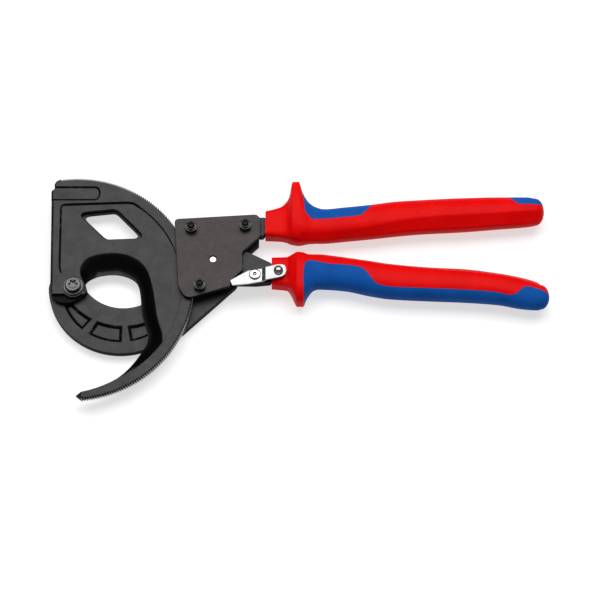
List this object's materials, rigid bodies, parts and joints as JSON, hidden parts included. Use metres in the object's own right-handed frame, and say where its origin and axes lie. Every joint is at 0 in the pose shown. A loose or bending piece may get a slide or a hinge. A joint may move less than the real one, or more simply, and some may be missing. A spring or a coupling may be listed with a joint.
{
  "type": "ratchet cable cutter",
  "caption": "Two-handed ratchet cable cutter with a hooked toothed blade over a ring-shaped fixed blade, covered ratchet head and guarded two-colour grips.",
  "frame": {"origin": "middle of the footprint, on the surface that the closed tool lies on", "axes": "+X along the tool from the blades to the handle ends, +Y from the lower (moving) handle to the upper (fixed) handle, +Z out of the front cover"},
  "size_m": [0.3216, 0.1536, 0.0249],
  "materials": {
    "black_steel": "burnished black tool steel, satin",
    "cover_steel": "burnished black sheet steel, satin",
    "black_fastener": "black zinc, slightly glossy",
    "plain_steel": "bare hardened steel",
    "bright_steel": "bright nickel plate",
    "spring_steel": "drawn spring wire",
    "red_plastic": "smooth moulded plastic, semi-matt",
    "blue_rubber": "soft matt grip zone"
  },
  "bodies": {
    "frame": {"fixed_blade": "black_steel", "front_cover": "cover_steel", "cover_bolt_1": "black_fastener", "cover_bolt_2": "black_fastener", "cover_bolt_3": "black_fastener", "lock_nut_1": "black_fastener", "lock_nut_2": "black_fastener", "lock_nut_3": "black_fastener", "spacer_sleeve": "plain_steel", "pivot_nut": "black_fastener", "pivot_screw": "plain_steel", "pivot_washer": "plain_steel", "handle_pin": "bright_steel", "upper_tang": "black_steel", "upper_grip": "red_plastic", "upper_grip_pad": "blue_rubber", "holding_pawl_pin": "plain_steel", "holding_pawl_spring": "spring_steel"},
    "moving_blade": {"moving_blade": "black_steel"},
    "moving_handle": {"drive_lever": "black_steel", "lower_grip": "red_plastic", "lower_grip_pad": "blue_rubber", "latch_rivet": "bright_steel", "latch_spring": "spring_steel", "drive_pawl_pin": "plain_steel", "drive_pawl_spring": "spring_steel"},
    "drive_pawl": {"drive_pawl": "plain_steel"},
    "holding_pawl": {"holding_pawl": "plain_steel"},
    "release_latch": {"release_latch": "bright_steel", "latch_button": "bright_steel"}
  },
  "joints": [
    {"name": "blade_swing", "type": "hinge", "parent": "frame", "child": "moving_blade", "pos_m": [-0.14397, -0.00023, 0.0114], "axis": [0, 0, 1], "range_deg": [-58, 110]},
    {"name": "handle_squeeze", "type": "hinge", "parent": "frame", "child": "moving_handle", "pos_m": [-0.05468, 0.01747, 0.0114], "axis": [0, 0, 1], "range_deg": [-38, 2]},
    {"name": "drive_pawl_swing", "type": "hinge", "parent": "moving_handle", "child": "drive_pawl", "pos_m": [-0.06198, 0.01847, 0.0114], "axis": [0, 0, 1], "range_deg": [-2, 29.5]},
    {"name": "holding_pawl_lift", "type": "hinge", "parent": "frame", "child": "holding_pawl", "pos_m": [-0.06098, 0.03327, 0.0114], "axis": [0, 0, 1], "range_deg": [0, 8], "stiffness_Nm_per_rad": 0.02},
    {"name": "latch_turn", "type": "hinge", "parent": "moving_handle", "child": "release_latch", "pos_m": [-0.02768, 0.00607, 0.0114], "axis": [0, 0, 1], "range_deg": [0, 10], "stiffness_Nm_per_rad": 0.02}
  ],
  "couplings": [
    {"joint": "drive_pawl_swing", "follows": "handle_squeeze", "ratio": -0.76}
  ]
}
